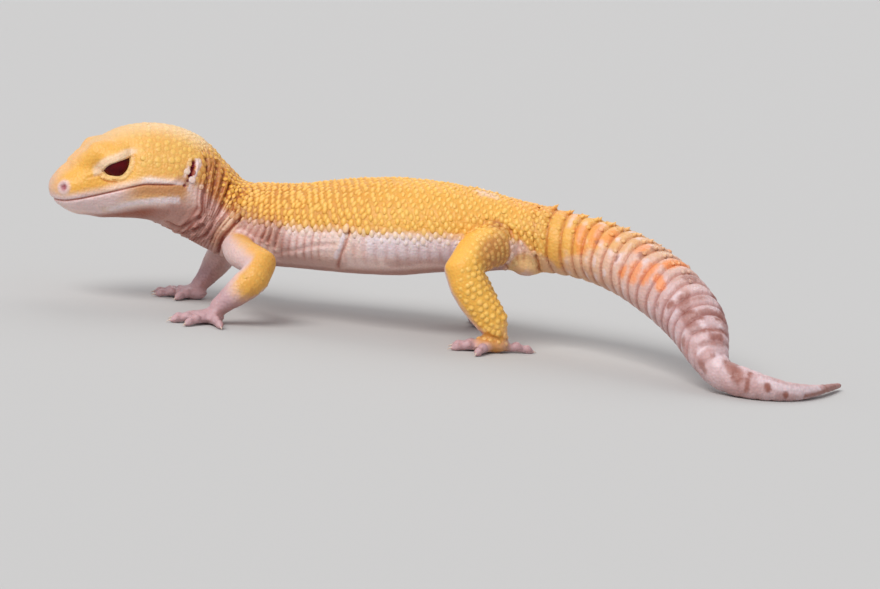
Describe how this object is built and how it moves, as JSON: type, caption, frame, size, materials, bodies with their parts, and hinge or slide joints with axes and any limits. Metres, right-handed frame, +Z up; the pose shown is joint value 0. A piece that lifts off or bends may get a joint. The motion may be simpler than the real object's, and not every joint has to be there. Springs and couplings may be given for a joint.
{
  "type": "leopard gecko",
  "caption": "Life-size standing leopard gecko, head raised, fat ringed tail curling down to the floor: a still display model of an orange and white adult male.",
  "frame": {"origin": "on the floor, under the middle of the bounding box", "axes": "+X towards the tail, the head faces -X; +Y towards the animal's right side; +Z up"},
  "size_m": [0.179, 0.0776, 0.041],
  "materials": {
    "back_skin": "granular scales with small raised tubercles, satin",
    "pale_skin": "soft fine scales, satin",
    "tail_skin": "rings of small scales with pointed tubercles on their rear edges, satin",
    "eye": "wet gloss"
  },
  "bodies": {
    "root": {"head": "back_skin", "lower_jaw": "pale_skin", "eye_left": "eye", "eye_right": "eye", "neck": "back_skin", "chest": "back_skin", "abdomen": "back_skin", "pelvis": "back_skin", "tail_base": "tail_skin", "tail_middle": "tail_skin", "tail_end": "tail_skin", "tail_tip": "tail_skin", "upper_arm_left": "back_skin", "forearm_left": "back_skin", "hand_left": "pale_skin", "upper_arm_right": "back_skin", "forearm_right": "back_skin", "hand_right": "pale_skin", "thigh_left": "back_skin", "shin_left": "back_skin", "foot_left": "pale_skin", "thigh_right": "back_skin", "shin_right": "back_skin", "foot_right": "pale_skin"}
  },
  "joints": []
}
